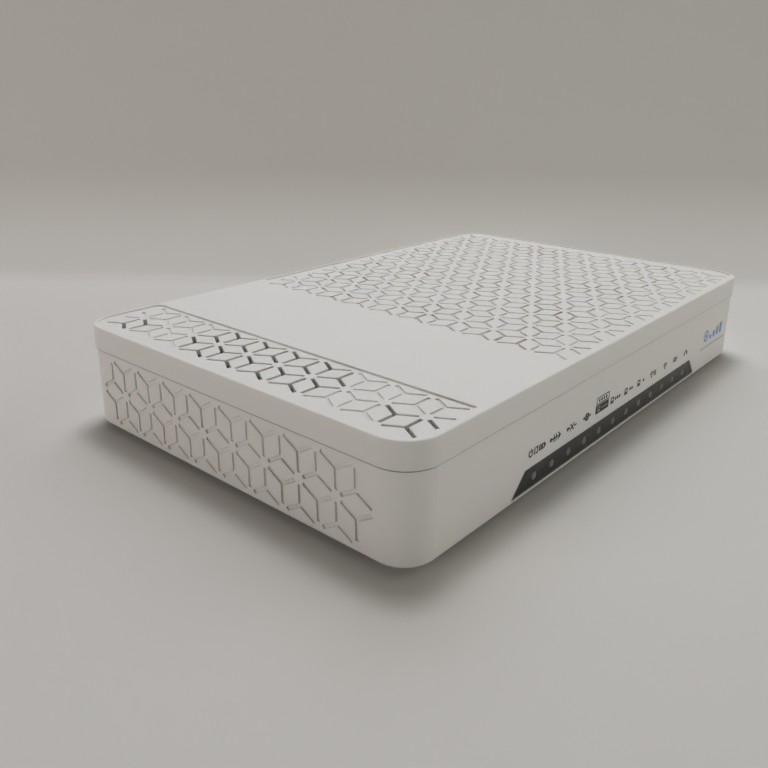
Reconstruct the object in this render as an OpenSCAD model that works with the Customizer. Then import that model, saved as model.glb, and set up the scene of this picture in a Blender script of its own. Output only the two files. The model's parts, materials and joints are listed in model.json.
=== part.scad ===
// Optical network terminal: flat desktop box with a star-lattice lid,
// a status light window, rear ports and two side buttons.
// Origin: centre of the footprint on the plane of the feet. +X along the
// length (front seen with +X to the right), +Y towards the ports, +Z up.

/* [Case] */
// Length of the case, end to end
body_length = 220; // [218:1:226]
// Depth of the case, front to back
body_depth = 140; // [140:1:146]
// Height of the case without its feet
body_height = 33.3; // [32.5:0.1:36]
// Height of the base, up to the parting line
base_height = 25.6; // [25:0.1:27]
// Radius of the upright corners
corner_radius = 10.7; // [10:0.1:12]
// Wall thickness of both shells
wall = 2; // [1.8:0.1:2.2]
// How far the feet stand below the case
foot_height = 2; // [1:0.1:4]
// How far the base stands back from the lid at the parting line
seam_inset = 0.45; // [0.3:0.05:0.6]
// How much further the base wall leans in at its foot
draft_inset = 0.9; // [0.4:0.1:1.2]
// Gap seen at the parting line
seam_gap = 0.4; // [0.1:0.05:0.5]
// Rounding of the lid's top edge
edge_radius = 0.4; // [0.3:0.1:1]

/* [Star lattice] */
// Distance between star centres along a row
star_pitch = 13.27; // [13:0.01:13.3]
// Width of a slot
slot_width = 1.15; // [0.9:0.05:1.4]
// Distance from a star centre to the slots around it
star_gap = 1.75; // [1.5:0.05:2.2]
// Depth of the closed slots on the main field
slot_depth = 0.6; // [0.4:0.1:1.4]
// Depth of the shallow closed slots
shallow_depth = 0.35; // [0.3:0.05:1]
// Depth of the lattice on the left end
end_depth = 0.45; // [0.3:0.05:1.1]
// Width of the border grooves
groove_width = 1.9; // [1.4:0.1:2.2]
// Depth of the border grooves
groove_depth = 0.5; // [0.3:0.05:1]

/* [Status lights] */
// Number of status lights
led_count = 12; // [12:1:12]
// Distance between status lights
led_pitch = 9.9; // [9.8:0.1:10]
// Diameter of the lit end of a light pipe
led_diameter = 2.5; // [2:0.1:2.8]

/* [Controls] */
// Travel of the power button
power_travel = 2.2; // [1.8:0.1:2.3]
// Travel of the two side buttons
side_travel = 0.5; // [0.3:0.1:0.6]
// Travel of the reset plunger
reset_travel = 0.4; // [0.2:0.1:0.5]

/* [Hidden] */

sides = [-1, 1];
past = 1;                     // how far a cut runs past a surface
half_length = body_length / 2;
half_depth = body_depth / 2;
corner_x = half_length - corner_radius;
corner_y = half_depth - corner_radius;

// Levels
case_bottom = foot_height;
floor_top = case_bottom + 2;
seam_z = case_bottom + base_height;
case_top = case_bottom + body_height;
lid_thickness = 2;
pcb_bottom = floor_top + 3.6;
pcb_thickness = 1.6;
pcb_top = pcb_bottom + pcb_thickness;
boss_joint_z = floor_top + 11; // where lid and base bosses meet
screw_seat_z = case_bottom + 8;

draft_angle = atan(draft_inset / base_height);
bevel_height = 0.7;           // bevel round the base's lower edge
bevel_inset = 0.55;

// Places shared by several pieces
boss_at = [97.5, 57.5];       // one corner of four
foot_at = [84, 55];           // one corner of four
standoffs = [[-96, -40], [96, -40], [-96, 42], [96, 42], [0, -50]];
foot_radius = 5.8;
foot_recess = 0.8;
label_half = [35, 15];
keyhole_x = 60;

// Rear ports: sizes are [width, depth, height], standing on the circuit board
port_face = 68.6;             // y of the ports' rear faces
port_gap = 0.1;               // clearance round a port in the case
lan_xs = [for (i = [0:3]) 25 - i * 16.5];
lan_size = [16, 21, 13.4];
phone_xs = [57.5, 43.5];
phone_size = [13.2, 17, 11.6];
usb_x = -41.5;
usb_flange_width = 15;
usb_flange_height = 9.9;
dc_x = -58;
dc_size = [9, 13, 11];
dc_z = pcb_top + 6.5;
optical_x = 78;
optical_z = 14.6;
adapter_half = [6.35, 4.65];  // half width, half height

// Buttons
reset_x = -69;
power_x = -80.5;
power_z = pcb_top + 4.2;
power_half = [4.2, 3];        // half width, half height
power_gap = 0.15;
stem_z = pcb_top + 3.5;       // height of the push switches' stems
wlan_y = -14;
wps_y = 8;

// Status lights
led_xs = [for (i = [0:led_count - 1]) -53.5 + i * led_pitch];
led_z = case_bottom + 4.3;

// Inset of the base wall at height z.
function base_inset(z) = seam_inset + draft_inset * (seam_z - z) / base_height;
function polar(radius, angle) = radius * [cos(angle), sin(angle)];

// ---- shared shapes ----

// A box given by its two opposite corners.
module box(from, to) {
  translate(from)
    cube(to - from);
}

// Stand +Z along +X or +Y at a given place.
module along_x(place) {
  translate(place)
    rotate([0, 90, 0])
      children();
}
module along_y(place) {
  translate(place)
    rotate([-90, 0, 0])
      children();
}

// Copies in all four quadrants.
module at_corners(place, z) {
  for (sx = sides, sy = sides)
    translate([sx * place.x, sy * place.y, z])
      children();
}
module at_standoffs(z) {
  for (place = standoffs)
    translate([place.x, place.y, z])
      children();
}

// Bar along Z, centred, with a symmetric trapezium section.
module leaning_bar(half_width, half_run, height, low_inset, high_inset) {
  low = half_width - low_inset;
  high = half_width - high_inset;
  translate([0, 0, -half_run])
    linear_extrude(2 * half_run)
      polygon([[-low, 0], [low, 0], [high, height], [-high, height]]);
}

// One level of the rounded case outline, with its own inset at each face.
module layer(low_z, high_z, low_inset, high_inset) {
  height = high_z - low_z;
  translate([0, 0, low_z]) {
    rotate([90, 0, 0])
      leaning_bar(half_length, corner_y, height, low_inset, high_inset);
    rotate([90, 0, 90])
      leaning_bar(half_depth, corner_x, height, low_inset, high_inset);
    at_corners([corner_x, corner_y], 0)
      cylinder(h = height, r1 = corner_radius - low_inset, r2 = corner_radius - high_inset, $fn = 96);
  }
}

// Frames that lie on the leaning walls of the base: local y = 0 (or x = 0) is
// the outer surface, local z = 0 is the parting line.
module on_front() {
  translate([0, -half_depth + seam_inset, seam_z])
    rotate([draft_angle, 0, 0])
      children();
}
module on_back() {
  translate([0, half_depth - seam_inset, seam_z])
    rotate([-draft_angle, 0, 0])
      children();
}
module on_left() {
  translate([-half_length + seam_inset, 0, seam_z])
    rotate([0, -draft_angle, 0])
      children();
}

// ---- star lattice ----
// Star rows run along Y. Row 0 is the left one, star 0 is at the back.
// Even rows hold 10 stars, odd rows 9 that sit half a pitch further on.

row_pitch = star_pitch * sqrt(3) / 2;
arm = star_pitch / sqrt(3);   // slot junction to star centre
slot_reach = arm - star_gap;
through_depth = lid_thickness + 0.5;
strip_rows = 3;               // rows below this number belong to the left strip
ray_length = 5.3;

function row_x(row) = -half_length + 15.87 + row * row_pitch;
function star_y(star) = half_depth - 12.07 - star * star_pitch;
function row_stars(row) = row % 2 == 0 ? [0:9] : [0.5:8.5];

// The left strip is open over its middle, the rest is closed.
function strip_open(x, y) =
  (y > -33 && y < 31) || (x < row_x(0) && (y < -50 || y > 48 && y < 62));
function depth_at(row, x, y) =
  row < strip_rows ? (strip_open(x, y) ? through_depth : shallow_depth)
  : y < -52 ? shallow_depth : slot_depth;

// Three-armed slot outline, first arm along the given angle.
function y_outline(first_angle) = [
  for (i = [0:2]) let (angle = first_angle + 120 * i) each [
    polar(slot_reach, angle) + polar(slot_width / 2, angle - 90),
    polar(slot_reach, angle) + polar(slot_width / 2, angle + 90),
    polar(slot_width / sqrt(3), angle + 60)]];

module y_slot(first_angle, depth) {
  translate([0, 0, -depth])
    linear_extrude(depth + past)
      polygon(y_outline(first_angle));
}

// Slots between a row and the next one.
module lattice_gap(row) {
  // x of the junctions, star numbers, angle of the first arm
  columns = [
    [row_x(row) + arm, row_stars(row), 60],
    [row_x(row) + arm / 2, row_stars(row + 1), 0]];
  for (column = columns, star = column[1])
    let (x = column[0], y = star_y(star))
      translate([x, y, case_top])
        y_slot(column[2], depth_at(row, x, y));
}

// Straight slot from a star centre outwards.
module ray(row, star, angle, depth) {
  translate([row_x(row), star_y(star), case_top])
    rotate([0, 0, angle])
      translate([star_gap, -slot_width / 2, -depth])
        cube([ray_length, slot_width, depth + past]);
}
module row_ends(row) {
  for (angle = [60, 120])
    ray(row, 0, angle, shallow_depth);
  for (angle = [240, 300])
    ray(row, 9, angle, row < strip_rows && angle == 240 ? through_depth : shallow_depth);
}

// Three-armed groove on the left end, at a height above the case underside.
module end_slot(star, height, first_angle) {
  y = half_depth - 9.73 - star * star_pitch;
  on_left()
    translate([0, y, height - base_height])
      rotate([0, -90, 0])
        translate([0, 0, -end_depth])
          linear_extrude(end_depth + 2)
            polygon(y_outline(first_angle));
}
module end_lattice() {
  middle = 12.9;
  for (star = [1:8]) {
    end_slot(star, middle + arm, 60);
    end_slot(star, middle - arm, 0);
  }
  for (star = [0.5:8.5]) {
    end_slot(star, middle + arm / 2, 0);
    end_slot(star, middle - arm / 2, 60);
  }
}

// Border groove: a band along a line given as samples
// [centre x, centre y, radius, angle], so straights join bends smoothly.
function groove_edge(sample, offset) =
  [sample[0], sample[1]] + polar(sample[2] + offset, sample[3]);
module groove(line) {
  last = len(line) - 1;
  translate([0, 0, case_top - groove_depth])
    linear_extrude(groove_depth + past)
      polygon(concat(
        [for (i = [0:last]) groove_edge(line[i], groove_width / 2)],
        [for (i = [last:-1:0]) groove_edge(line[i], -groove_width / 2)]));
}
module border_grooves() {
  edge_inset = 2.1;           // case edge to groove centre line
  outer_bend = corner_radius - edge_inset;
  inner_bend = 2.2;
  bend_x = -half_length + 28.2 - inner_bend;
  // right side of the left strip, then round the back left corner
  groove(concat(
    [[bend_x, -half_depth + 2.85, inner_bend, 0]],
    [for (a = [0:10:90]) [bend_x, half_depth - edge_inset - inner_bend, inner_bend, a]],
    [for (a = [90:4:146]) [-corner_x, corner_y, outer_bend, a]]));
  // along the back, down the right end and round the front right corner
  groove(concat(
    [[-half_length + 77, corner_y, outer_bend, 90]],
    [for (a = [90:-4:2]) [corner_x, corner_y, outer_bend, a]],
    [[corner_x, corner_y, outer_bend, 0]],
    [for (a = [0:-4:-60]) [corner_x, -corner_y, outer_bend, a]]));
}

// ---- case ----

module lid_shell() {
  // Edge rounding, in edge radii: distance below the top, inset
  edge_steps = [[1, 0], [0.5, 0.134], [0.134, 0.5], [0, 1]] * edge_radius;
  difference() {
    union() {
      layer(seam_z + seam_gap / 2, case_top - edge_radius, 0, 0);
      for (i = [0:2])
        layer(case_top - edge_steps[i][0], case_top - edge_steps[i + 1][0],
          edge_steps[i][1], edge_steps[i + 1][1]);
    }
    layer(seam_z - past, case_top - lid_thickness, wall, wall);
  }
}

module top_cover() color([0.8, 0.8, 0.79]) difference() {
  union() {
    lid_shell();
    at_corners(boss_at, boss_joint_z)
      cylinder(h = case_top - lid_thickness / 2 - boss_joint_z, r = 3.5, $fn = 48);
    // stiffening ribs under the plain band
    for (x = [-76, -42])
      box([x - 0.6, -half_depth + 3.5, case_top - 4.5], [x + 0.6, half_depth - 3.5, case_top - 1]);
  }
  at_corners(boss_at, boss_joint_z - past)
    cylinder(h = 14, r = 1.25, $fn = 48);
  for (row = [-1, 0, each [5:16]])
    lattice_gap(row);
  for (row = [0, each [6:2:16]])
    row_ends(row);
  border_grooves();
}

// Corner of a polygon between its two neighbours, rounded to a radius.
function unit(v) = v / norm(v);
function rounded_corner(before, corner, after, radius) =
  let (u = unit(before - corner),
    v = unit(after - corner),
    bisector = unit(u + v),
    half_angle = acos(u * bisector),
    centre = corner + bisector * radius / sin(half_angle),
    turn = sign(u.x * v.y - u.y * v.x),
    middle = atan2(-bisector.y, -bisector.x))
  [for (i = [-4:4]) centre + polar(radius, middle - turn * i * (90 - half_angle) / 4)];

// Light window corners: x, height above the case underside, inward z direction
window_corners = [[-65.7, 1.2, 1], [66.3, 1.2, 1], [60.5, 8, -1], [-59.3, 8, -1]];
window_low_radius = 0.35;

// Window outline on the front wall, drawn in by a gap, measured from the
// parting line.
module window_outline(gap, high_radius) {
  p = [for (c = window_corners) [c[0] - sign(c[0]) * gap, c[1] + c[2] * gap - base_height]];
  polygon([for (i = [0:3])
    each rounded_corner(p[(i + 3) % 4], p[i], p[(i + 1) % 4],
      i < 2 ? window_low_radius : high_radius)]);
}

// Stadium-shaped button section along X, grown by a gap.
module side_button_shape(y, from_x, to_x, gap) {
  centre = 2.2;               // middle of the button to the centre of an end
  radius = 2;
  for (s = sides)
    along_x([from_x, y + s * centre, stem_z])
      cylinder(h = to_x - from_x, r = radius + gap, $fn = 48);
  box([from_x, y - centre, stem_z - radius - gap], [to_x, y + centre, stem_z + radius + gap]);
}

module base_shell() {
  bevel_z = case_bottom + bevel_height;
  rim_z = seam_z - seam_gap / 2;
  difference() {
    union() {
      layer(case_bottom, bevel_z, base_inset(case_bottom) + bevel_inset, base_inset(bevel_z));
      layer(bevel_z, rim_z, base_inset(bevel_z), base_inset(rim_z));
    }
    layer(floor_top, seam_z + past, base_inset(floor_top) + wall, base_inset(seam_z + past) + wall);
  }
}

// Tongue that locates the lid and closes the parting line, notched in four places.
module seam_tongue() {
  outer = wall + 0.12;
  inner = wall + 1.2;
  difference() {
    layer(seam_z - 3, seam_z + 1.9, outer, outer);
    layer(seam_z - 4, seam_z + 3, inner, inner);
    for (s = sides)
      box([s * 78 - 3, -body_depth, seam_z + 0.2], [s * 78 + 3, body_depth, seam_z + 3]);
  }
}

module base_posts() {
  post_z = case_bottom + 1;
  at_corners(boss_at, post_z)
    cylinder(h = boss_joint_z - post_z, r = 4.6, $fn = 48);
  at_standoffs(post_z)
    cylinder(h = pcb_bottom - post_z, r = 3, $fn = 48);
  // rests under the light pipes
  for (x = [-45, 45])
    box([x - 1.5, -65, floor_top - 0.5], [x + 1.5, -62, led_z - 1.2]);
}

// Wall-hanging keyhole through the floor, with the hollow of its pocket.
module keyhole_cut(x) {
  low = case_bottom - past;
  high = case_bottom + 2.01;
  translate([x, -4, low])
    cylinder(h = high - low, r = 4.2, $fn = 48);
  box([x - 2.1, -4, low], [x + 2.1, 4, high]);
  translate([x, 4, low])
    cylinder(h = high - low, r = 2.1, $fn = 48);
  box([x - 4.8, -8.8, floor_top], [x + 4.8, 6.8, floor_top + 1.9]);
}

// Recesses for the feet, screws and label, and cooling slots.
module floor_cuts() {
  at_corners(foot_at, case_bottom - past)
    cylinder(h = foot_recess + past, r = foot_radius + 0.3, $fn = 64);
  at_corners(boss_at, case_bottom - past)
    cylinder(h = screw_seat_z - case_bottom + past, r = 3.2, $fn = 48);
  at_corners(boss_at, screw_seat_z - past)
    cylinder(h = 8, r = 1.6, $fn = 48);
  at_standoffs(floor_top + 0.4)
    cylinder(h = 5, r = 1, $fn = 32);
  box([-label_half.x - 1, -label_half.y - 1, case_bottom - past],
    [label_half.x + 1, label_half.y + 1, case_bottom + 0.3]);
  for (s = sides, i = [-4:4])
    box([i * 8 - 0.9, s * 33 - 11, case_bottom - past],
      [i * 8 + 0.9, s * 33 + 11, floor_top + past]);
}

// Opening for ports that stand on the board, between two outer port sides.
module port_opening(left_x, right_x, height) {
  box([left_x - port_gap, 60, pcb_top - port_gap],
    [right_x + port_gap, 72, pcb_top + height + port_gap]);
}
module rear_cuts() {
  on_back() {
    // recessed port field
    box([-90, -0.7, -20], [63.5, 2, -3.2]);
    // hollow of the optical bay
    translate([optical_x, -9.3, -13.2])
      box([-11, 0, -8.3], [11, 12, 8.3]);
  }
  port_opening(min(lan_xs) - lan_size.x / 2, max(lan_xs) + lan_size.x / 2, lan_size.z);
  for (x = phone_xs)
    port_opening(x - phone_size.x / 2, x + phone_size.x / 2, phone_size.z);
  port_opening(usb_x - usb_flange_width / 2, usb_x + usb_flange_width / 2, usb_flange_height);
  port_opening(dc_x - dc_size.x / 2, dc_x + dc_size.x / 2, dc_size.z);
  box([power_x - power_half.x - power_gap, 60, power_z - power_half.y - power_gap],
    [power_x + power_half.x + power_gap, 72, power_z + power_half.y + power_gap]);
  along_y([reset_x, 60, stem_z])
    cylinder(h = 12, r = 0.9, $fn = 32);
  box([optical_x - adapter_half.x - port_gap, 55, optical_z - adapter_half.y - port_gap],
    [optical_x + adapter_half.x + port_gap, 62, optical_z + adapter_half.y + port_gap]);
}

module base_housing() color([0.78, 0.77, 0.75]) difference() {
  union() {
    base_shell();
    seam_tongue();
    base_posts();
    // pockets over the keyholes
    for (s = sides)
      box([s * keyhole_x - 6, -10, floor_top - 0.5], [s * keyhole_x + 6, 8, floor_top + 2.9]);
    // sheltered bay round the optical port
    box([optical_x - 12.5, 58.4, floor_top - 0.5], [optical_x + 12.5, 68, 23.5]);
  }
  for (s = sides)
    keyhole_cut(s * keyhole_x);
  floor_cuts();
  end_lattice();
  on_front()
    translate([0, 3.5, 0])
      rotate([90, 0, 0])
        linear_extrude(5)
          window_outline(0, 0.5);
  rear_cuts();
  // button openings in the right end
  for (y = [wlan_y, wps_y])
    side_button_shape(y, 104, 112, 0.1);
}

module led_window() color([0.2, 0.18, 0.18]) difference() {
  union() {
    on_front()
      translate([0, 2, 0])
        rotate([90, 0, 0])
          linear_extrude(1.72)
            window_outline(0.08, 2.4);
    // glue flange behind the wall
    box([-67, -66.55, floor_top + 0.02], [68, -65.6, case_bottom + 9.4]);
    box([-58, -67.4, case_bottom + 2.2], [58, -66.5, case_bottom + 7.4]);
  }
  for (x = led_xs)
    along_y([x, -72, led_z])
      cylinder(h = 10, r = led_diameter / 2, $fn = 32);
}

module light_guide() color([0.85, 0.87, 0.88]) {
  for (x = led_xs)
    along_y([x, -68.5, led_z])
      cylinder(h = 8.1, r = led_diameter / 2 - 0.05, $fn = 32);
  // bar that joins the pipes
  box([led_xs[0] - 2, -64.5, led_z - 1.2], [led_xs[led_count - 1] + 2, -62.5, led_z + 1.2]);
}

module status_leds() color([0.95, 0.93, 0.8])
  for (x = led_xs)
    box([x - 1.6, -60.2, pcb_bottom - 1.3], [x + 1.6, -58.8, pcb_bottom]);

module rubber_feet() color([0.15, 0.15, 0.16]) {
  bevel = 0.5;
  at_corners(foot_at, 0) {
    cylinder(h = bevel, r1 = foot_radius - bevel, r2 = foot_radius, $fn = 64);
    translate([0, 0, bevel])
      cylinder(h = foot_height + foot_recess - bevel, r = foot_radius, $fn = 64);
  }
}

// Screw pointing up, with its cross-slotted head below z = 0.
module screw(head_radius, head_height, shank_radius, shank_length) {
  bevel = 0.4;
  slot = head_radius * 0.6;
  difference() {
    translate([0, 0, -head_height])
      union() {
        cylinder(h = bevel, r1 = head_radius - bevel, r2 = head_radius, $fn = 48);
        translate([0, 0, bevel])
          cylinder(h = head_height - bevel, r = head_radius, $fn = 48);
      }
    for (angle = [0, 90])
      rotate([0, 0, angle])
        box([-slot, -0.3, -head_height - past], [slot, 0.3, -head_height + 1]);
  }
  cylinder(h = shank_length, r = shank_radius, $fn = 48);
}

module case_screws() color([0.6, 0.6, 0.62])
  at_corners(boss_at, screw_seat_z)
    screw(2.8, 2.2, 1.22, 14);

module rating_label() color([0.88, 0.88, 0.88])
  box([-label_half.x, -label_half.y, case_bottom + 0.1],
    [label_half.x, label_half.y, case_bottom + 0.3]);

// ---- circuit board ----

// Board outline [x, y], counterclockwise from the front left notch
pcb_outline = [
  [-104, -48], [-92, -48], [-92, -60], [92, -60], [92, -48], [104, -48],
  [104, 51], [91.5, 51], [91.5, 57], [64.5, 57], [64.5, 66], [-92, 66],
  [-92, 51], [-104, 51]];

module main_pcb() color([0.1, 0.35, 0.2]) difference() {
  translate([0, 0, pcb_bottom])
    linear_extrude(pcb_thickness)
      polygon(pcb_outline);
  at_standoffs(pcb_bottom - past)
    cylinder(h = 4, r = 1.4, $fn = 32);
}

module pcb_screws() color([0.75, 0.75, 0.76])
  at_standoffs(pcb_top)
    mirror([0, 0, 1])
      screw(2.5, 1.8, 0.97, 4.6);

// A block between two [x, y] corners and two heights above the board.
module board_block(from, to, low, high) {
  box([from.x, from.y, pcb_top + low], [to.x, to.y, pcb_top + high]);
}

// Plain chips; table rows are left x, front y, right x, back y, height.
module chips(table) {
  for (chip = table)
    board_block([chip[0], chip[1]], [chip[2], chip[3]], 0, chip[4]);
}

// Sheet-metal can, open underneath.
module shield_can(from, to, height) {
  sheet = 0.3;
  difference() {
    board_block(from, to, 0, height);
    board_block(from + [sheet, sheet], to - [sheet, sheet], -past, height - sheet);
  }
}

module soc_chip() color([0.12, 0.12, 0.13]) {
  board_block([-2, -17], [22, 7], 0, 0.6);
  board_block([0, -15], [20, 5], 0.6, 1.6);
}

module thermal_pad() color([0.6, 0.65, 0.75])
  board_block([0.5, -14.5], [19.5, 4.5], 1.6, 2.1);

module heatsink() color([0.7, 0.7, 0.72]) {
  left = -12;
  fin_pitch = 4.755;
  fin_thickness = 1.2;
  board_block([left, -27], [32, 17], 2.1, 5);
  for (i = [0:9])
    let (x = left + i * fin_pitch)
      board_block([x, -27], [x + fin_thickness, 17], 5, 15);
}

module memory_chips() color([0.14, 0.14, 0.15])
  chips([[-30, -22, -20, -8, 1.1], [-30, -3, -20, 11, 1.1], [4, -41, 16, -33, 1.2]]);

module crystals() color([0.8, 0.8, 0.78])
  chips([[-6, -36, -1, -32.8, 1.1], [38, -22, 43, -18.8, 1.1], [-42, -24, -38.8, -19, 1.1]]);

module wifi_shield() color([0.78, 0.78, 0.76]) difference() {
  shield_can([-82, -22], [-46, 10], 3.6);
  for (i = [-3:3], j = [-2:2])
    translate([-64 + i * 4.4, -6 + j * 4.4, pcb_top])
      cylinder(h = 5, r = 0.8, $fn = 24);
}

fibre_bend = 10;
fibre_end_x = optical_x - 2 * fibre_bend;

module optical_module() color([0.76, 0.76, 0.75]) {
  shield_can([46, -24], [70, -4], 9);
  // fibre socket
  along_y([fibre_end_x, -4, optical_z])
    difference() {
      cylinder(h = 6, r = 2.4, $fn = 48);
      translate([0, 0, 1])
        cylinder(h = 6, r = 0.7, $fn = 24);
    }
}

module line_interface_chips() color([0.13, 0.13, 0.14])
  chips([[46, 30, 56, 40, 1.4], [40, 18, 47, 25, 1.2]]);

module lan_transformers() color([0.1, 0.1, 0.11])
  for (x = [-16, 17]) {
    board_block([x - 12, 29], [x + 12, 43], 0.3, 6);
    // pins
    for (i = [-5:5], s = sides)
      let (pin_x = x + i * 2, pin_y = 36 + s * 7.9)
        board_block([pin_x - 0.3, pin_y - 0.9], [pin_x + 0.3, pin_y + 0.9], 0, 0.4);
  }

// Can capacitor with a neck below its top.
module capacitor(radius, height) {
  cylinder(h = height - 1.6, r = radius, $fn = 48);
  translate([0, 0, height - 1.6])
    cylinder(h = 0.6, r = radius - 0.25, $fn = 48);
  translate([0, 0, height - 1])
    cylinder(h = 1, r = radius, $fn = 48);
}

module capacitors() color([0.2, 0.2, 0.35]) {
  for (x = [-66, -54])
    translate([x, 36, pcb_top])
      capacitor(4, 12);
  for (place = [[-46, 28], [-44, 20], [46, -30], [56, -30]])
    translate([place.x, place.y, pcb_top])
      capacitor(3.15, 8);
}

module inductors() color([0.35, 0.35, 0.36])
  for (place = [[-80, 34], [-80, 20], [-60, 20]])
    translate([place.x, place.y, pcb_top])
      difference() {
        box([-4, -4, 0], [4, 4, 4.2]);
        translate([0, 0, 3.9])
          cylinder(h = 1, r = 2.8, $fn = 48);
      }

// ---- rear ports ----

module jack_body(x, size) {
  board_block([x - size.x / 2, port_face - size.y], [x + size.x / 2, port_face], 0, size.z);
}

// Modular jack with a keyed opening, latch side down; base is the height of
// the opening's lower edge above the board.
module modular_jack(x, size, width, height, base) {
  right = [[2, base], [2, base + 1.2], [3.2, base + 1.2], [3.2, base + 2.7],
    [width / 2, base + 2.7], [width / 2, base + 2.7 + height]];
  left = [for (i = [5:-1:0]) [-right[i].x, right[i].y]];
  difference() {
    jack_body(x, size);
    translate([x, port_face + past, pcb_top])
      rotate([90, 0, 0])
        linear_extrude(14)
          polygon(concat(right, left));
  }
}

// Spring contact from the side: distance in from the port face, height
contact_profile = [[2.2, 0], [3, 0], [11, -4.4], [10.7, -4.8]];
contact_pitch = 1.02;
contact_width = 0.34;

module contacts(x, z, count) {
  for (i = [0:count - 1])
    translate([x + (i - (count - 1) / 2) * contact_pitch + contact_width / 2, 0, z])
      rotate([90, 0, -90])
        linear_extrude(contact_width)
          polygon([for (p = contact_profile) [p.x - port_face, p.y]]);
}

module lan_jacks() color([0.85, 0.7, 0.2])
  for (x = lan_xs)
    modular_jack(x, lan_size, 11.9, 7.1, 1.4);

module lan_contacts() color([0.85, 0.7, 0.35])
  for (x = lan_xs)
    contacts(x, pcb_top + 11.2, 8);

module phone_jacks() color([0.6, 0.6, 0.6])
  for (x = phone_xs)
    modular_jack(x, phone_size, 9.8, 6.6, 0.9);

module phone_contacts() color([0.85, 0.7, 0.35])
  for (x = phone_xs)
    contacts(x, pcb_top + 10.2, 4);

module usb_shell() color([0.75, 0.75, 0.76]) difference() {
  union() {
    board_block([usb_x - 6.55, port_face - 14], [usb_x + 6.55, port_face], 0.3, 6);
    // shielding flange that fills the opening in the case
    board_block([usb_x - usb_flange_width / 2, port_face - 0.8],
      [usb_x + usb_flange_width / 2, port_face - 0.4], 0, usb_flange_height);
    // legs
    for (s = sides, y = [55.6, 62])
      let (x = usb_x + s * 6.25)
        board_block([x - 0.3, y], [x + 0.3, y + 2.4], 0, 1);
  }
  board_block([usb_x - 6.25, port_face - 13.7], [usb_x + 6.25, port_face + past], 0.6, 5.7);
}

module usb_tongue() color([0.9, 0.9, 0.9]) {
  board_block([usb_x - 6.1, port_face - 13.7], [usb_x + 6.1, port_face - 10], 0.62, 5.68);
  board_block([usb_x - 5.5, port_face - 10], [usb_x + 5.5, port_face - 1.2], 3.3, 5.1);
}

dc_hole_y = port_face - 9.5;  // bottom of the power jack's hole

module dc_jack() color([0.1, 0.1, 0.1]) difference() {
  jack_body(dc_x, dc_size);
  along_y([dc_x, dc_hole_y, dc_z])
    cylinder(h = 12, r = 2.9, $fn = 64);
}

module dc_pin() color([0.8, 0.8, 0.8])
  along_y([dc_x, dc_hole_y, dc_z]) {
    cylinder(h = 8, r = 1.05, $fn = 48);
    translate([0, 0, 8])
      cylinder(h = 0.8, r1 = 1.05, r2 = 0.5, $fn = 48);
  }

// ---- switches and buttons ----

// Box along Y centred on the power button's axis.
module power_box(half_x, half_z, from_y, to_y) {
  box([power_x - half_x, from_y, power_z - half_z], [power_x + half_x, to_y, power_z + half_z]);
}

module power_switch() color([0.15, 0.15, 0.16]) difference() {
  board_block([power_x - 4.2, 49], [power_x + 4.2, 61], 0, 8.4);
  power_box(1.56, 1.56, 53.7 - power_travel, 62);
}

module power_plunger() color([0.85, 0.85, 0.83])
  power_box(1.5, 1.5, 55, 66.5);

module power_button() color([0.3, 0.3, 0.31]) difference() {
  union() {
    power_box(power_half.x, power_half.y, 64, 69.5);
    power_box(power_half.x - 0.4, power_half.y - 0.4, 69.5, 69.9);
    // flange inside the wall
    power_box(5, 3.6, 65.8, 66.8);
  }
  power_box(1.5, 1.5, 63, 66.5);
}

// A push switch facing +Y from y = 0; its stem hole starts at y = hole_start.
module push_switch(hole_start) {
  difference() {
    board_block([-3, 0], [3, 4], 0, 6.4);
    along_y([0, hole_start, stem_z])
      cylinder(h = 6, r = 1.65, $fn = 48);
  }
}

module reset_switch() color([0.15, 0.15, 0.16])
  translate([reset_x, 57, 0])
    push_switch(2 - reset_travel);

module reset_plunger() color([0.35, 0.2, 0.18])
  along_y([reset_x, 59.4, stem_z]) {
    cylinder(h = 3.6, r = 1.6, $fn = 48);
    translate([0, 0, 3.6])
      cylinder(h = 0.4, r1 = 1.6, r2 = 1.2, $fn = 48);
  }

module side_switch(y) {
  translate([97.6, y, 0])
    rotate([0, 0, -90])
      push_switch(2.1 - side_travel);
}
module side_plunger(y) {
  along_x([100, y, stem_z])
    cylinder(h = 6, r = 1.6, $fn = 48);
}
module side_button(y) {
  face_x = 109.45;
  side_button_shape(y, 106, face_x, 0);
  side_button_shape(y, face_x, face_x + 0.3, -0.3);
  // flange inside the wall
  box([106, y - 5.4, stem_z - 3], [106.8, y + 5.4, stem_z + 3]);
}

module wlan_switch() color([0.15, 0.15, 0.16]) side_switch(wlan_y);
module wlan_plunger() color([0.85, 0.85, 0.83]) side_plunger(wlan_y);
module wlan_button() color([0.75, 0.75, 0.74]) side_button(wlan_y);
module wps_switch() color([0.15, 0.15, 0.16]) side_switch(wps_y);
module wps_plunger() color([0.85, 0.85, 0.83]) side_plunger(wps_y);
module wps_button() color([0.75, 0.75, 0.74]) side_button(wps_y);

// ---- optical port and fibre ----

plug_half = [4.5, 3.7];       // half width, half height of plug and cap
ferrule_y = 37.4;
fibre_y = 22;                 // where the fibre starts to bend

// Box along Y centred on the optical axis.
module optical_box(half, from_y, to_y) {
  box([optical_x - half.x, from_y, optical_z - half.y],
    [optical_x + half.x, to_y, optical_z + half.y]);
}
module on_optical_axis(y) {
  along_y([optical_x, y, optical_z])
    children();
}

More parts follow.
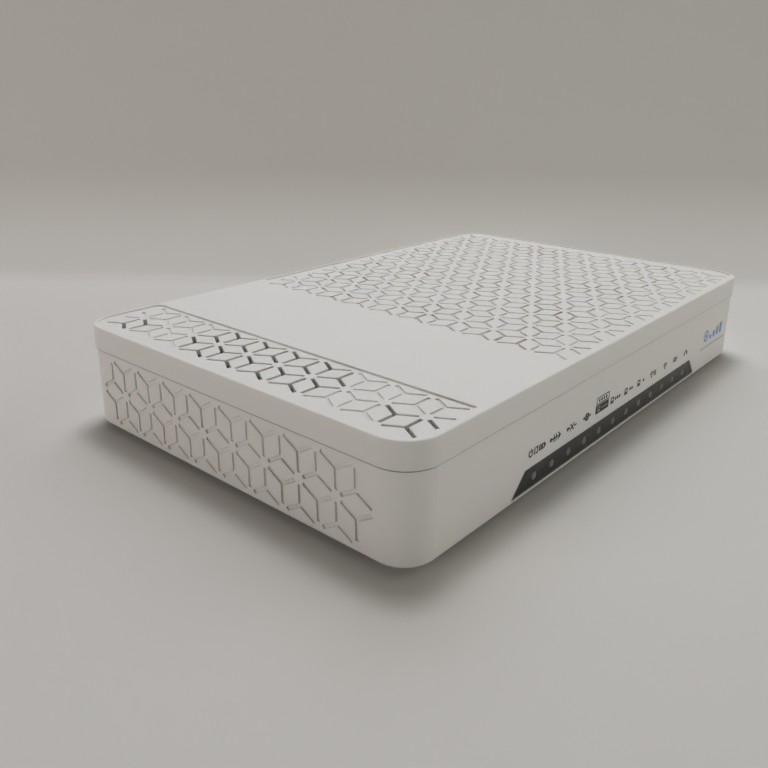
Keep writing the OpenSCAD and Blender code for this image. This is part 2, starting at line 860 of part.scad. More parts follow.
module optical_adapter() color([0.15, 0.5, 0.3]) difference() {
  union() {
    optical_box(adapter_half, 35, 63);
    // mounting flange
    box([optical_x - 8.6, 55.4, optical_z - adapter_half.y],
      [optical_x + 8.6, 58.35, optical_z + 5.6]);
  }
  optical_box([4.6, 3.8], 51, 64);
  optical_box([4.6, 3.8], 34, 47);
  on_optical_axis(40)
    cylinder(h = 20, r = 1.65, $fn = 48);
}

module ceramic_sleeve() color([0.95, 0.95, 0.93])
  on_optical_axis(43.3)
    difference() {
      cylinder(h = 11.4, r = 1.62, $fn = 48);
      translate([0, 0, -past])
        cylinder(h = 14, r = 1.26, $fn = 48);
    }

module fibre_ferrule() color([0.97, 0.97, 0.95])
  on_optical_axis(ferrule_y)
    cylinder(h = 11.6, r = 1.25, $fn = 48);

module fibre_plug() color([0.15, 0.45, 0.25]) {
  difference() {
    optical_box(plug_half, 33, 43);
    on_optical_axis(ferrule_y)
      cylinder(h = 10, r = 2.2, $fn = 48);
  }
  // tapered boot
  on_optical_axis(24)
    difference() {
      cylinder(h = 9, r1 = 1.3, r2 = 2.2, $fn = 48);
      translate([0, 0, -past])
        cylinder(h = 3, r = 0.6, $fn = 24);
    }
}

module fibre_arc(y, start_angle) {
  translate([optical_x - fibre_bend, y, optical_z])
    rotate([0, 0, start_angle])
      rotate_extrude(angle = 89, $fn = 96)
        translate([fibre_bend, 0])
          circle(r = 0.45, $fn = 24);
}

// The fibre leaves the plug, swings across in two quarter bends and enters the
// optical module. Short sleeves cover its ends and the middle of the swing.
module fibre_pigtail() color([0.95, 0.9, 0.6]) {
  on_optical_axis(fibre_y - 1)
    cylinder(h = 4.9, r = 0.58, $fn = 24);
  // fibre_arc below turns about the first centre, the other about the second
  fibre_arc(fibre_y, -89);
  along_x([optical_x - fibre_bend - 1.5, fibre_y - fibre_bend, optical_z])
    cylinder(h = 3, r = 0.7, $fn = 24);
  translate([-2 * fibre_bend + fibre_bend * 2, 0, 0])
    fibre_arc(fibre_y - 2 * fibre_bend, 91);
  along_y([fibre_end_x, -2.9, optical_z])
    cylinder(h = 5.9, r = 0.58, $fn = 24);
}

module dust_cap() color([0.9, 0.9, 0.88]) {
  difference() {
    optical_box(plug_half, 55.5, 63.2);
    on_optical_axis(54)
      cylinder(h = 7.5, r = 2.2, $fn = 48);
  }
  optical_box([6.2, 4.6], 63.1, 65);
  // finger grip
  optical_box([1.2, 3.4], 65, 69.4);
}

// ---- antennas ----

antenna_inner = 65.5;         // distance of the front antenna's inner face
coax_z = 17;
coax_run = 13;
coax_bend = 3.4;

module antenna_left() color([0.15, 0.3, 0.4])
  box([-106.3, -22, 11], [-105.5, 18, 22]);

module antenna_front() color([0.15, 0.3, 0.4])
  box([34, -antenna_inner - 0.8, 12], [74, -antenna_inner, 22]);

// Thin coax: straight along +X, then a quarter bend down to its plug on the board.
module coax() {
  drop = coax_z - pcb_top;
  rotate([0, 90, 0])
    cylinder(h = coax_run + 0.4, r = 0.65, $fn = 24);
  translate([coax_run, 0, -coax_bend])
    rotate([90, 0, 0])
      rotate_extrude(angle = 90, $fn = 64)
        translate([coax_bend, 0])
          circle(r = 0.55, $fn = 24);
  translate([coax_run + coax_bend, 0, -drop]) {
    cylinder(h = drop - 3, r = 0.65, $fn = 24);
    cylinder(h = 1.3, r = 1.5, $fn = 32);
  }
}

module antenna_cable_left() color([0.2, 0.2, 0.2])
  translate([-105.5, -6, coax_z])
    coax();

module antenna_cable_front() color([0.2, 0.2, 0.2])
  translate([54, -antenna_inner, coax_z])
    rotate([0, 0, 90])
      coax();

base_housing();
top_cover();
led_window();
light_guide();
status_leds();
rubber_feet();
case_screws();
rating_label();
main_pcb();
pcb_screws();
soc_chip();
thermal_pad();
heatsink();
memory_chips();
crystals();
wifi_shield();
optical_module();
line_interface_chips();
lan_transformers();
capacitors();
inductors();
lan_jacks();
lan_contacts();
phone_jacks();
phone_contacts();
usb_shell();
usb_tongue();
dc_jack();
dc_pin();
power_switch();
power_plunger();
power_button();
reset_switch();
reset_plunger();
wlan_switch();
wlan_plunger();
wlan_button();
wps_switch();
wps_plunger();
wps_button();
optical_adapter();
ceramic_sleeve();
fibre_plug();
fibre_ferrule();
fibre_pigtail();
dust_cap();
antenna_left();
antenna_front();
antenna_cable_left();
antenna_cable_front();
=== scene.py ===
import json
import math

import bmesh
import bpy
from mathutils import Matrix, Vector


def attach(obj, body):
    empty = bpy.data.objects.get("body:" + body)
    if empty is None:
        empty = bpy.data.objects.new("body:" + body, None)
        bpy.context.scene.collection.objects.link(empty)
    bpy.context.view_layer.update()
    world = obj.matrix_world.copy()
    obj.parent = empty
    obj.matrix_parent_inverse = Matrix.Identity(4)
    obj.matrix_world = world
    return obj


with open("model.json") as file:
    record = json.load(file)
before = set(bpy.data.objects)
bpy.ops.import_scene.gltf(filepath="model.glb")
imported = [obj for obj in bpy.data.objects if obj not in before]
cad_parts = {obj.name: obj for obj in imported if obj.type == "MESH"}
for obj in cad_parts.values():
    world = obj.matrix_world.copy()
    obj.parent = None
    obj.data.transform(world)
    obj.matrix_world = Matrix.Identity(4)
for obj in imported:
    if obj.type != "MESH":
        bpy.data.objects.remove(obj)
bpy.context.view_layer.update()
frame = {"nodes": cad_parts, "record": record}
N = frame["nodes"]
MM = 0.001


# ---------------------------------------------------------------- materials
class Mat:
    """A small helper round one node tree."""

    def __init__(self, name):
        self.m = bpy.data.materials.new(name)
        self.m.use_nodes = True
        self.t = self.m.node_tree
        self.t.nodes.clear()
        self.out = self.t.nodes.new("ShaderNodeOutputMaterial")
        self.b = self.t.nodes.new("ShaderNodeBsdfPrincipled")
        self.t.links.new(self.b.outputs[0], self.out.inputs[0])
        self.tc = self.t.nodes.new("ShaderNodeTexCoord")

    def n(self, kind, **props):
        node = self.t.nodes.new(kind)
        for k, v in props.items():
            setattr(node, k, v)
        return node

    def link(self, a, b):
        self.t.links.new(a, b)

    def noise(self, scale, detail=4.0, rough=0.5, stretch=None, dist=0.0):
        t = self.n("ShaderNodeTexNoise")
        t.inputs["Scale"].default_value = scale
        t.inputs["Detail"].default_value = detail
        t.inputs["Roughness"].default_value = rough
        t.inputs["Distortion"].default_value = dist
        if stretch:
            mp = self.n("ShaderNodeMapping")
            mp.inputs["Scale"].default_value = stretch
            self.link(self.tc.outputs["Object"], mp.inputs["Vector"])
            self.link(mp.outputs[0], t.inputs["Vector"])
        else:
            self.link(self.tc.outputs["Object"], t.inputs["Vector"])
        return t.outputs["Fac"]

    def voronoi(self, scale, feature="F1"):
        t = self.n("ShaderNodeTexVoronoi", feature=feature)
        t.inputs["Scale"].default_value = scale
        self.link(self.tc.outputs["Object"], t.inputs["Vector"])
        return t.outputs["Distance"]

    def ramp(self, fac, stops):
        r = self.n("ShaderNodeValToRGB")
        els = r.color_ramp.elements
        while len(els) < len(stops):
            els.new(0.5)
        for e, (p, c) in zip(els, stops):
            e.position = p
            e.color = c if len(c) == 4 else (*c, 1)
        self.link(fac, r.inputs[0])
        return r.outputs[0]

    def grey(self, fac, lo, hi, a=0.0, b=1.0):
        r = self.n("ShaderNodeMapRange")
        r.inputs["From Min"].default_value = a
        r.inputs["From Max"].default_value = b
        r.inputs["To Min"].default_value = lo
        r.inputs["To Max"].default_value = hi
        self.link(fac, r.inputs["Value"])
        return r.outputs[0]

    def mix(self, fac, a, b, blend="MIX"):
        x = self.n("ShaderNodeMix", data_type="RGBA", blend_type=blend)
        for sock, v in ((x.inputs["Factor"], fac), (x.inputs[6], a), (x.inputs[7], b)):
            if isinstance(v, (int, float)):
                sock.default_value = v
            elif isinstance(v, (tuple, list)):
                sock.default_value = v if len(v) == 4 else (*v, 1)
            else:
                self.link(v, sock)
        return x.outputs[2]

    def math(self, op, a, b=0.5):
        x = self.n("ShaderNodeMath", operation=op)
        for sock, v in ((x.inputs[0], a), (x.inputs[1], b)):
            if isinstance(v, (int, float)):
                sock.default_value = v
            else:
                self.link(v, sock)
        return x.outputs[0]

    def ao(self, dist, samples=4):
        x = self.n("ShaderNodeAmbientOcclusion", samples=samples)
        x.inputs["Distance"].default_value = dist
        return x.outputs["AO"]

    def bump(self, height, strength, dist, base=None):
        x = self.n("ShaderNodeBump")
        x.inputs["Strength"].default_value = strength
        x.inputs["Distance"].default_value = dist
        self.link(height, x.inputs["Height"])
        if base is not None:
            self.link(base, x.inputs["Normal"])
        return x.outputs[0]

    def round_edges(self, r, samples=4):
        x = self.n("ShaderNodeBevel", samples=samples)
        x.inputs["Radius"].default_value = r
        return x.outputs[0]

    def set(self, name, v):
        s = self.b.inputs[name]
        if isinstance(v, (int, float)):
            s.default_value = v
        elif isinstance(v, (tuple, list)):
            s.default_value = v if len(v) == 4 or name == "Subsurface Radius" else (*v, 1)
        else:
            self.link(v, s)
        return self


def moulded(name, col, rough=0.5, grain=0.25, edge=0.00025, vary=0.04, sss=0.0, shade_and_grime=None, seam_shade=0.0, coat=0.0, shine=0.42, warm=(0.97, 0.955, 0.91)):
    """Injection-moulded plastic: fine spark-eroded grain, faint flow mottling, softened edges."""
    m = Mat(name)
    big = m.noise(26, 3, 0.6)
    dark = tuple(c * (1 - vary) for c in col)
    base = m.mix(big, dark, col)
    cloud = m.noise(9, 2, 0.5)
    base = m.mix(m.grey(cloud, 0.0, 0.10, 0.45, 0.75), base, tuple(c * w for c, w in zip(col, warm)))
    if seam_shade:
        # painted shade: faces within a thin band at the parting-line height are darkened, standing in for the
        # shadow inside the gap between lid and base
        xyz = m.n("ShaderNodeSeparateXYZ")
        m.link(m.tc.outputs["Object"], xyz.inputs[0])
        near = m.math("COMPARE", xyz.outputs[2], SEAM_Z)
        near.node.inputs[2].default_value = 0.00024
        base = m.mix(m.math("MULTIPLY", near, seam_shade), base, tuple(c * w for c, w in zip(col, (0.25, 0.235, 0.21))))
    if shade_and_grime:
        # painted shade: ambient occlusion darkens recesses and creases towards brown, in patches set by noise; the
        # black voronoi specks below are real dirt
        occ = m.math("SUBTRACT", 1.0, m.ao(0.0014))
        spots = m.ramp(m.noise(38, 5, 0.65), [(0.50, (0, 0, 0)), (0.66, (1, 1, 1))])
        patchy_recess_shade = m.math("MULTIPLY", m.math("MULTIPLY", occ, spots), shade_and_grime)
        base = m.mix(patchy_recess_shade, base, (0.36, 0.31, 0.16))
        specks = m.ramp(m.voronoi(72), [(0.022, (1, 1, 1)), (0.034, (0, 0, 0))])
        thin = m.ramp(m.noise(17, 2), [(0.50, (0, 0, 0)), (0.54, (1, 1, 1))])
        base = m.mix(m.math("MULTIPLY", m.math("MULTIPLY", specks, thin), 0.85), base, (0.04, 0.036, 0.03))
    m.set("Base Color", base)
    fine = m.noise(5200, 2, 0.6)
    m.set("Roughness", m.grey(m.noise(60, 3), rough - 0.05, rough + 0.07))
    wave = m.noise(55, 2, 0.5)
    nrm = m.bump(wave, 0.10, 0.0004, m.round_edges(edge) if edge else None)
    m.set("Normal", m.bump(fine, grain, 0.00003, nrm))
    m.set("IOR", 1.49)
    m.set("Specular IOR Level", shine)
    if sss:
        m.set("Subsurface Weight", sss)
        m.set("Subsurface Radius", (0.0022, 0.0019, 0.0015))
        m.set("Subsurface Scale", 1.0)
    if coat:
        m.set("Coat Weight", coat)
        m.set("Coat Roughness", 0.12)
    return m.m


def metal(name, col, rough=0.28, brushed=None, edge=0.0001):
    m = Mat(name)
    st = brushed or (1, 1, 1)
    streak = m.noise(900, 3, 0.7, stretch=st)
    m.set("Base Color", m.mix(streak, tuple(c * 0.86 for c in col), col))
    m.set("Metallic", 1.0)
    m.set("Roughness", m.grey(m.noise(180, 4, 0.6, stretch=st), rough - 0.07, rough + 0.1))
    m.set("Normal", m.bump(streak, 0.12, 0.00002, m.round_edges(edge)))
    return m.m


def rubber(name, col, rough=0.8):
    m = Mat(name)
    m.set("Base Color", m.mix(m.noise(120, 5), tuple(c * 0.75 for c in col), tuple(min(1, c * 1.25) for c in col)))
    m.set("Roughness", m.grey(m.noise(300, 3), rough - 0.1, rough + 0.08))
    m.set("Normal", m.bump(m.noise(2500, 3), 0.35, 0.00005, m.round_edges(0.0003)))
    m.set("Specular IOR Level", 0.3)
    return m.m


def board(name, col):
    """Solder mask over copper: faint tracks as raised lines over a mottled colour."""
    m = Mat(name)
    w = m.n("ShaderNodeTexVoronoi", feature="DISTANCE_TO_EDGE", distance="MANHATTAN")
    w.inputs["Scale"].default_value = 260
    m.link(m.tc.outputs["Object"], w.inputs["Vector"])
    track = m.ramp(w.outputs["Distance"], [(0.05, (1, 1, 1)), (0.09, (0, 0, 0))])
    light = tuple(min(1, c * 2.2 + 0.01) for c in col)
    m.set("Base Color", m.mix(m.math("MULTIPLY", track, 0.5), m.mix(m.noise(40), col, tuple(c * 0.7 for c in col)), light))
    m.set("Roughness", m.grey(m.noise(220), 0.22, 0.36))
    m.set("Normal", m.bump(track, 0.3, 0.00004))
    m.set("Coat Weight", 0.4)
    return m.m


SEAM_Z = 0.0276
WHITE = (0.80, 0.795, 0.78)
M = {
    # shell_white paints shade: a patchy brown darkening in its recesses and a dark band along the parting line
    "shell_white": moulded("shell_white", WHITE, rough=0.5, grain=0.2, edge=0.0002, shade_and_grime=0.7, seam_shade=0.8, vary=0.02, sss=0.5),
    "window_black": moulded("window_black", (0.006, 0.0056, 0.0058), rough=0.27, grain=0.05, edge=0.00025, vary=0.15, shine=0.85),
    "light_pipe": moulded("light_pipe", (0.20, 0.20, 0.205), rough=0.32, grain=0.1, edge=0.0001, vary=0.1),
    "led_epoxy": moulded("led_epoxy", (0.72, 0.70, 0.5), rough=0.25, grain=0.05),
    "rubber_grey": rubber("rubber_grey", (0.055, 0.055, 0.058)),
    "screw_steel": metal("screw_steel", (0.52, 0.52, 0.54), 0.3),
    "label_paper": moulded("label_paper", (0.84, 0.84, 0.83), rough=0.42, grain=0.08, edge=0),
    "pcb_green": board("pcb_green", (0.012, 0.09, 0.035)),
    "chip_black": moulded("chip_black", (0.022, 0.022, 0.024), rough=0.55, grain=0.4, vary=0.2),
    "pad_blue": rubber("pad_blue", (0.25, 0.33, 0.45), 0.7),
    "heatsink_alu": metal("heatsink_alu", (0.72, 0.72, 0.74), 0.32, (1, 0.05, 1)),
    "tin_shield": metal("tin_shield", (0.66, 0.65, 0.62), 0.3, (0.1, 1, 1)),
    "can_alu": metal("can_alu", (0.6, 0.6, 0.62), 0.3),
    "ferrite_grey": moulded("ferrite_grey", (0.08, 0.08, 0.082), rough=0.6, grain=0.4),
    "jack_yellow": moulded("jack_yellow", (0.72, 0.45, 0.035), rough=0.38, grain=0.12, vary=0.06),
    "jack_grey": moulded("jack_grey", (0.30, 0.30, 0.31), rough=0.42, grain=0.15, vary=0.06),
    "contact_gold": metal("contact_gold", (0.83, 0.62, 0.24), 0.2),
    "usb_steel": metal("usb_steel", (0.74, 0.74, 0.75), 0.2, (1, 0.1, 1)),
    "connector_black": moulded("connector_black", (0.024, 0.024, 0.026), rough=0.42, grain=0.2, vary=0.2),
    "switch_black": moulded("switch_black", (0.035, 0.035, 0.038), rough=0.45, grain=0.2, vary=0.2),
    "plunger_white": moulded("plunger_white", (0.78, 0.78, 0.75), rough=0.35, grain=0.08),
    "button_grey": moulded("button_grey", (0.17, 0.17, 0.18), rough=0.45, grain=0.3, edge=0.0004, vary=0.1),
    "button_white": moulded("button_white", (0.77, 0.765, 0.75), rough=0.4, grain=0.18, edge=0.0004, sss=0.1),
    "adapter_green": moulded("adapter_green", (0.018, 0.25, 0.09), rough=0.38, grain=0.12, vary=0.1),
    "ceramic_white": moulded("ceramic_white", (0.9, 0.89, 0.85), rough=0.12, grain=0.02, sss=0.2),
    "fibre_jacket": moulded("fibre_jacket", (0.85, 0.78, 0.38), rough=0.35, grain=0.08, edge=0),
    "cap_white": moulded("cap_white", (0.80, 0.80, 0.77), rough=0.5, grain=0.15, edge=0.0004, sss=0.2),
    "antenna_board": board("antenna_board", (0.012, 0.04, 0.10)),
    "coax_black": rubber("coax_black", (0.03, 0.03, 0.03), 0.5),
    "ink_grey": moulded("ink_grey", (0.030, 0.029, 0.029), rough=0.5, grain=0.3, edge=0, vary=0.15),
    "ink_blue": moulded("ink_blue", (0.19, 0.37, 0.74), rough=0.45, grain=0.3, edge=0, vary=0.1),
    "ink_pale": moulded("ink_pale", (0.40, 0.40, 0.40), rough=0.5, grain=0.3, edge=0, vary=0.1),
}

slot_of = {s["node"]: s["material_slot"] for s in frame["record"]["subparts"]}
for name, ob in N.items():
    mat = M[slot_of[name]]
    if ob.material_slots:
        for s in ob.material_slots:
            s.material = mat
    else:
        ob.data.materials.append(mat)


# ---------------------------------------------------------------- printed marks
def poly_obj(name, polys, place, mat, body="case", t=0.00004):
    """Thin raised ink: polygons (mm, in the wall's own plane) set on a wall by the matrix place."""
    bm = bmesh.new()
    for pts in polys:
        vs = [bm.verts.new((x * MM, y * MM, 0)) for x, y in pts]
        f = bm.faces.new(vs)
        r = bmesh.ops.extrude_face_region(bm, geom=[f])
        up = [v for v in r["geom"] if isinstance(v, bmesh.types.BMVert)]
        bmesh.ops.translate(bm, verts=up, vec=(0, 0, t))
    bmesh.ops.recalc_face_normals(bm, faces=bm.faces[:])
    me = bpy.data.meshes.new(name)
    bm.to_mesh(me)
    bm.free()
    ob = bpy.data.objects.new(name, me)
    bpy.context.scene.collection.objects.link(ob)
    ob.data.transform(place)
    ob.data.materials.append(mat)
    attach(ob, body)
    return ob


def rect(x0, y0, x1, y1):
    return [(x0, y0), (x1, y0), (x1, y1), (x0, y1)]


def disc(cx, cy, r, n=28):
    return [(cx + r * math.cos(2 * math.pi * i / n), cy + r * math.sin(2 * math.pi * i / n)) for i in range(n)]


def arc(cx, cy, r, w, a0, a1, n=24):
    """A band along an arc, as separate quads so that each polygon stays convex."""
    out = []
    for i in range(n):
        p, q = (math.radians(a0 + (a1 - a0) * k / n) for k in (i, i + 1))
        out.append([(cx + (r - w / 2) * math.cos(p), cy + (r - w / 2) * math.sin(p)), (cx + (r + w / 2) * math.cos(p), cy + (r + w / 2) * math.sin(p)),
                    (cx + (r + w / 2) * math.cos(q), cy + (r + w / 2) * math.sin(q)), (cx + (r - w / 2) * math.cos(q), cy + (r - w / 2) * math.sin(q))])
    return out


def ring(cx, cy, r, w):
    return arc(cx, cy, r, w, 0, 360, 32)


def bar(x0, y0, x1, y1, w):
    dx, dy = x1 - x0, y1 - y0
    L = math.hypot(dx, dy)
    nx, ny = -dy / L * w / 2, dx / L * w / 2
    return [(x0 + nx, y0 + ny), (x0 - nx, y0 - ny), (x1 - nx, y1 - ny), (x1 + nx, y1 + ny)]


def frame_box(x0, y0, x1, y1, w):
    return [rect(x0, y0, x1, y0 + w), rect(x0, y1 - w, x1, y1), rect(x0, y0 + w, x0 + w, y1 - w), rect(x1 - w, y0 + w, x1, y1 - w)]


def shift(polys, dx, dy, s=1.0):
    return [[(x * s + dx, y * s + dy) for x, y in p] for p in polys]


# pictograms, each centred on 0, 0, about 2.4 mm tall and up to 5 mm wide
W = 0.44
ICON = {
    "power": shift(arc(0, 0, 1.0, W, -235, 55) + [rect(-W / 2, 0.1, W / 2, 1.3)], -1.3, 0) + [rect(0.5, -1.1, 0.5 + W, 1.1), rect(1.3, -1.1, 2.5, -1.1 + W), rect(1.3, 1.1 - W, 2.5, 1.1), rect(2.5 - W, -1.1, 2.5, 1.1)],
    "light_path": [disc(-2.5, 0, 0.62), rect(-1.9, -W / 2, 2.7, W / 2), bar(1.6, 1.15, 2.9, 0, W), bar(1.6, -1.15, 2.9, 0, W), rect(-1.0, -1.2, -1.0 + W, 1.2), rect(0.2, -1.2, 0.2 + W, 1.2)],
    "no_light": [disc(-2.4, 0, 0.62), rect(-1.8, -W / 2, -0.9, W / 2), bar(-0.9, -1.1, 1.3, 1.1, W), bar(-0.9, 1.1, 1.3, -1.1, W), rect(1.4, -W / 2, 2.8, W / 2)],
    "globe": ring(0, 0, 1.1, W) + arc(-1.0, 0, 1.5, W * 0.7, -45, 45, 8) + arc(1.0, 0, 1.5, W * 0.7, 135, 225, 8) + [rect(-0.95, -W * 0.35, 0.95, W * 0.35), disc(-1.95, 0, 0.45, 16), disc(1.95, 0, 0.45, 16)],
    "port": frame_box(-1.1, -1.1, 1.1, 1.1, W) + [rect(-0.42, -1.1, 0.42, -0.1)],
    "handset": arc(0, -0.7, 1.35, 0.5, 25, 155, 14) + [rect(-1.75, -0.95, -0.75, -0.15), rect(0.75, -0.95, 1.75, -0.15)],
    "radio": [disc(0, -0.9, 0.42)] + arc(0, -0.9, 1.05, W, 35, 145, 10) + arc(0, -0.9, 1.85, W, 40, 140, 12),
    "radio_bar": shift([disc(0, -0.9, 0.42)] + arc(0, -0.9, 1.05, W, 35, 145, 10) + arc(0, -0.9, 1.85, W, 40, 140, 12), -1.0, 0) + [rect(1.0, -1.0, 1.5, 1.0), rect(1.9, -1.0, 2.4, 1.0)],
    "battery": frame_box(-1.5, -0.9, 1.5, 0.9, W) + [rect(1.5, -0.45, 2.0, 0.45), rect(-0.8, -0.3, 0.5, 0.3)],
    "link": ring(-0.8, 0, 0.72, W) + ring(0.8, 0, 0.72, W),
    "store": frame_box(-1.2, -0.8, 1.2, 0.8, W) + [rect(0.3, -0.4, 0.75, 0.0)],
}


def dots(n, p=0.75, r=0.26):
    return [disc((i - (n - 1) / 2) * p, 0, r, 16) for i in range(n)]


rec_f = lambda z: 0.45 + 0.9 * (27.6 - z) / 25.6
lean = math.atan2(0.9, 25.6)
# plane of each wall of the base: x across, y up from the case underside, z outwards
FRONT = Matrix.Translation((0, (-70 + rec_f(2)) * MM, 2 * MM)) @ Matrix.Rotation(lean, 4, "X") @ Matrix.Rotation(math.pi / 2, 4, "X")
BACK = Matrix.Translation((0, (70 - rec_f(2)) * MM, 2 * MM)) @ Matrix.Rotation(-lean, 4, "X") @ Matrix.Rotation(math.pi, 4, "Z") @ Matrix.Rotation(math.pi / 2, 4, "X")
RIGHT = Matrix.Translation(((110 - rec_f(2)) * MM, 0, 2 * MM)) @ Matrix.Rotation(lean, 4, "Y") @ Matrix.Rotation(math.pi / 2, 4, "Z") @ Matrix.Rotation(math.pi / 2, 4, "X")

Y = 12.45
ports = {n: shift(ICON["port"], -2.3, 0) + shift(dots(n, 1.45, 0.55), 1.6, 0) for n in (1, 2, 3)}
ports["supply"] = shift(ICON["power"], -1.9, 0) + shift(ICON["battery"], 2.7, 0)
row = []
for cx, mark in ((-53.7, "supply"), (-43.5, "light_path"), (-33.8, "no_light"), (-24.2, "globe"), (-4.8, 3), (5.4, 2), (15.4, 1), (24.9, "radio_bar"), (35.5, "radio"), (44.7, "link"), (55.1, "handset")):
    row += shift(ports[mark] if mark in ports else ICON[mark], cx, Y)
poly_obj("front_pictograms", row, FRONT, M["ink_grey"])
poly_obj("front_pictogram_box", [rect(-18.6, 11.2, -9.8, 13.9)] + frame_box(-18.4, 14.2, -9.8, 16.6, 0.3) + shift(dots(4, 1.6, 0.5), -14.1, 15.4), FRONT, M["ink_grey"])
poly_obj("front_pictogram_box_dots", shift(ICON["port"], -16.6, 12.55, 0.8) + shift(dots(4, 1.05, 0.34), -12.6, 12.55), Matrix.Translation((0, -0.00005, 0)) @ FRONT, M["ink_pale"])
poly_obj("front_blue_mark", ring(76.4, 13.7, 2.05, 0.7) + [disc(76.4, 13.7, 0.8)] + [rect(80.2 + 3.7 * i, 11.6, 82.5 + 3.7 * i, 13.1 + 0.98 * i) for i in range(4)], FRONT, M["ink_blue"])
poly_obj("front_thin_rule", [rect(71.4, 8.8, 98.4, 9.15)], FRONT, M["ink_pale"])

# rear port pictograms, above the port field; x runs the other way on the back wall
back = []
for i, x in enumerate([25, 8.5, -8, -24.5]):
    back += shift(dots(i + 1, 1.1, 0.36), -x, 24.2)
for i, x in enumerate([57.5, 43.5]):
    back += shift(ICON["handset"], -x - 0.6, 24.0, 0.9)
back += shift(ICON["store"], 41.5, 24.0, 0.95)
back += ring(58, 24.0, 1.1, 0.3) + [disc(58, 24.0, 0.5)]
back += shift(ICON["power"], 80.5, 24.0, 0.95)
back += ring(69, 24.0, 0.7, 0.28)
back += shift(ICON["light_path"], -78, 24.2, 0.95)
poly_obj("rear_pictograms", back, BACK, M["ink_pale"])
side = shift(ICON["radio"], -14, 15.6, 0.9) + shift(ICON["link"], 8, 15.6, 0.9)
poly_obj("side_pictograms", side, RIGHT, M["ink_pale"])


# ---------------------------------------------------------------- stage
VIEW = Vector((0.7655, 0.6434, 0.0)).normalized()  # the way the camera looks, over the floor
EYE = Vector((-0.23442217, -0.17021120, 0.11392699))


def stage_mat():
    """Matt paper. A camera behind or under it sees through it, so every side of the object can be viewed."""
    m = Mat("stage_paper")
    m.set("Base Color", m.mix(m.noise(2.2, 3, 0.5), (0.688, 0.677, 0.660), (0.724, 0.716, 0.701)))
    m.set("Roughness", m.grey(m.noise(30, 4), 0.7, 0.85))
    m.set("Specular IOR Level", 0.25)
    m.set("Normal", m.bump(m.noise(90, 5, 0.6), 0.08, 0.0008))
    clear = m.n("ShaderNodeBsdfTransparent")
    geo = m.n("ShaderNodeNewGeometry")
    ray = m.n("ShaderNodeLightPath")
    sw = m.n("ShaderNodeMixShader")
    m.link(m.math("MULTIPLY", geo.outputs["Backfacing"], ray.outputs["Is Camera Ray"]), sw.inputs[0])
    m.link(m.b.outputs[0], sw.inputs[1])
    m.link(clear.outputs[0], sw.inputs[2])
    m.link(sw.outputs[0], m.out.inputs[0])
    return m.m


def sweep():
    """A floor that curves up into a low wall behind the object, as seen from the camera."""
    start, r = 0.433, 0.06
    prof = [(-0.55, 0.0), (-0.3, 0.0), (0.0, 0.0), (start, 0.0)]
    for i in range(1, 25):
        a = math.pi / 2 * i / 24
        prof.append((start + r * math.sin(a), r - r * math.cos(a)))
    prof += [(start + r, 0.3), (start + r, 0.7), (start + r, 1.1)]
    side = Vector((VIEW.y, -VIEW.x, 0))
    eye = Vector((EYE.x, EYE.y, 0))
    bm = bmesh.new()
    rows = []
    for w in (-0.95, -0.5, 0.0, 0.5, 1.1):
        rows.append([bm.verts.new(eye + VIEW * d + side * w + Vector((0, 0, z))) for d, z in prof])
    for a, b in zip(rows, rows[1:]):
        for i in range(len(prof) - 1):
            bm.faces.new((a[i], b[i], b[i + 1], a[i + 1]))
    bm.normal_update()
    if bm.faces[:][0].normal.z < 0:
        bmesh.ops.reverse_faces(bm, faces=bm.faces[:])
    me = bpy.data.meshes.new("floor")
    bm.to_mesh(me)
    bm.free()
    for p in me.polygons:
        p.use_smooth = True
    ob = bpy.data.objects.new("floor", me)
    bpy.context.scene.collection.objects.link(ob)
    ob.data.materials.append(stage_mat())
    ob.visible_shadow = False
    return ob


sweep()


def area(name, loc, target, size, power, col=(1, 1, 1)):
    l = bpy.data.lights.new(name, "AREA")
    l.shape = "RECTANGLE"
    l.size, l.size_y = size
    l.energy = power
    l.color = col
    ob = bpy.data.objects.new(name, l)
    bpy.context.scene.collection.objects.link(ob)
    ob.location = loc
    ob.rotation_mode = "QUATERNION"
    ob.rotation_quaternion = (Vector(loc) - Vector(target)).to_track_quat("Z", "Y")
    return ob


def around(turn, lift, dist):
    """A place by its direction from the object: turn from the camera's side to the right, lift above the floor."""
    a, e = math.radians(turn), math.radians(lift)
    flat = -VIEW * math.cos(a) + Vector((VIEW.y, -VIEW.x, 0)) * math.sin(a)
    return flat * math.cos(e) * dist + Vector((0, 0, math.sin(e) * dist))


AIM = (0.01, 0.0, 0.01)
area("top_softbox", VIEW * 0.13 + Vector((0, 0, 0.95)), AIM, (0.25, 0.25), 2.62, (1.0, 0.987, 0.975))
area("wide_softbox", VIEW * 0.4 + Vector((0, 0, 0.95)), AIM, (0.5, 0.5), 1.38, (0.927, 0.965, 1.04))
area("rear_softbox", VIEW * 0.8 + Vector((0, 0, 0.9)), AIM, (0.9, 0.7), 2.3, (0.885, 0.932, 1.06))
area("right_side_fill", around(100, 30, 1.3), AIM, (0.9, 0.6), 2.0, (1.0, 0.973, 0.852))
area("right_low_fill", around(55, 9, 1.2), AIM, (0.7, 0.3), 2.15, (1.0, 0.973, 0.883))
area("left_low_fill", around(-60, 9, 1.2), AIM, (0.7, 0.3), 3.3, (1.0, 0.90, 0.815))

w = bpy.data.worlds.new("studio")
w.use_nodes = True
w.node_tree.nodes["Background"].inputs[0].default_value = (1.0, 0.967, 0.904, 1)
w.node_tree.nodes["Background"].inputs[1].default_value = 0.047
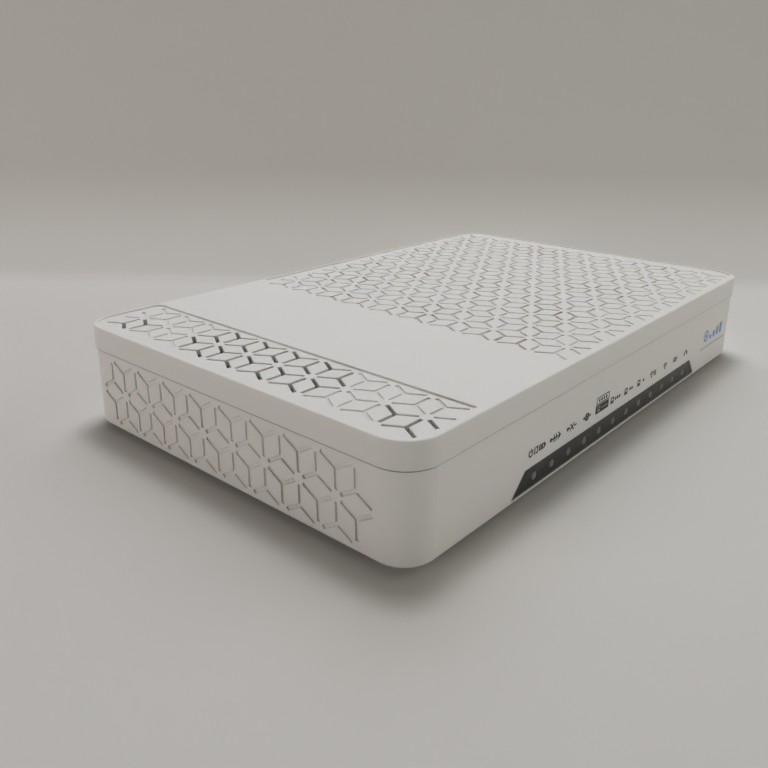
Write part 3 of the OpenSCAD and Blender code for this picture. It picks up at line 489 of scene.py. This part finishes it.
# past the edge of the paper a camera sees more pale paper, while the light on the object stays the same
pale = w.node_tree.nodes.new("ShaderNodeBackground")
pale.inputs[0].default_value = (0.36, 0.35, 0.33, 1)
seen = w.node_tree.nodes.new("ShaderNodeLightPath")
both = w.node_tree.nodes.new("ShaderNodeMixShader")
w.node_tree.links.new(seen.outputs["Is Camera Ray"], both.inputs[0])
w.node_tree.links.new(w.node_tree.nodes["Background"].outputs[0], both.inputs[1])
w.node_tree.links.new(pale.outputs[0], both.inputs[2])
w.node_tree.links.new(both.outputs[0], w.node_tree.nodes["World Output"].inputs[0])
bpy.context.scene.world = w
bpy.context.scene.view_settings.view_transform = "Standard"
bpy.context.scene.view_settings.look = "None"
bpy.context.scene.view_settings.exposure = 0.0

cam = bpy.data.cameras.new("camera")
cam.sensor_fit = "HORIZONTAL"
cam.sensor_width = 36.0
cam.lens = 798.284 / 768 * 36.0
cam.clip_start, cam.clip_end = 0.01, 20
cam_ob = bpy.data.objects.new("camera", cam)
bpy.context.scene.collection.objects.link(cam_ob)
R = Matrix(((0.6457152762918466, -0.7634768720039653, 0.012443788747214857),
            (-0.17018116497142727, -0.15978031895190237, -0.9723726758628075),
            (0.7443723215248619, 0.6257581925877354, -0.23310197630440305)))
turn = R.transposed() @ Matrix.Diagonal((1, -1, -1))
cam_ob.matrix_world = Matrix.Translation(EYE) @ turn.to_4x4()
bpy.context.scene.camera = cam_ob


def by_distance(block, path, near, far, target, other, kind="LOC_DIFF", keys=(0.0, 0.02)):
    """Drives a setting from where the camera stands: near at the first key, far from the second on."""
    fc = block.driver_add(path)
    while fc.modifiers:
        fc.modifiers.remove(fc.modifiers[0])
    fc.driver.type = "SUM"
    v = fc.driver.variables.new()
    v.type = kind
    v.targets[0].id = target
    if kind == "LOC_DIFF":
        v.targets[1].id = other
    else:
        v.targets[0].transform_type = "LOC_Z"
        v.targets[0].transform_space = "WORLD_SPACE"
    for x, y in zip(keys, (near, far)):
        k = fc.keyframe_points.insert(x, y)
        k.interpolation = "LINEAR"
    fc.extrapolation = "CONSTANT"


# the lens shift belongs to the first view only: it fades out as soon as the camera is moved
first = bpy.data.objects.new("first_view", None)
bpy.context.scene.collection.objects.link(first)
first.matrix_world = Matrix.Translation(EYE)
SHIFT = (-14.798 / 768, -114.423 / 768)
cam.shift_x, cam.shift_y = SHIFT
by_distance(cam, "shift_x", SHIFT[0], 0.0, cam_ob, first)
by_distance(cam, "shift_y", SHIFT[1], 0.0, cam_ob, first)
# a soft light under the floor comes on only for a camera that looks from below
under = area("under_softbox", (0.0, 0.0, -0.7), (0, 0, 0), (0.9, 0.9), 0.0)
by_distance(under.data, "energy", 3.2, 0.0, cam_ob, None, "TRANSFORMS", (-0.02, 0.0))
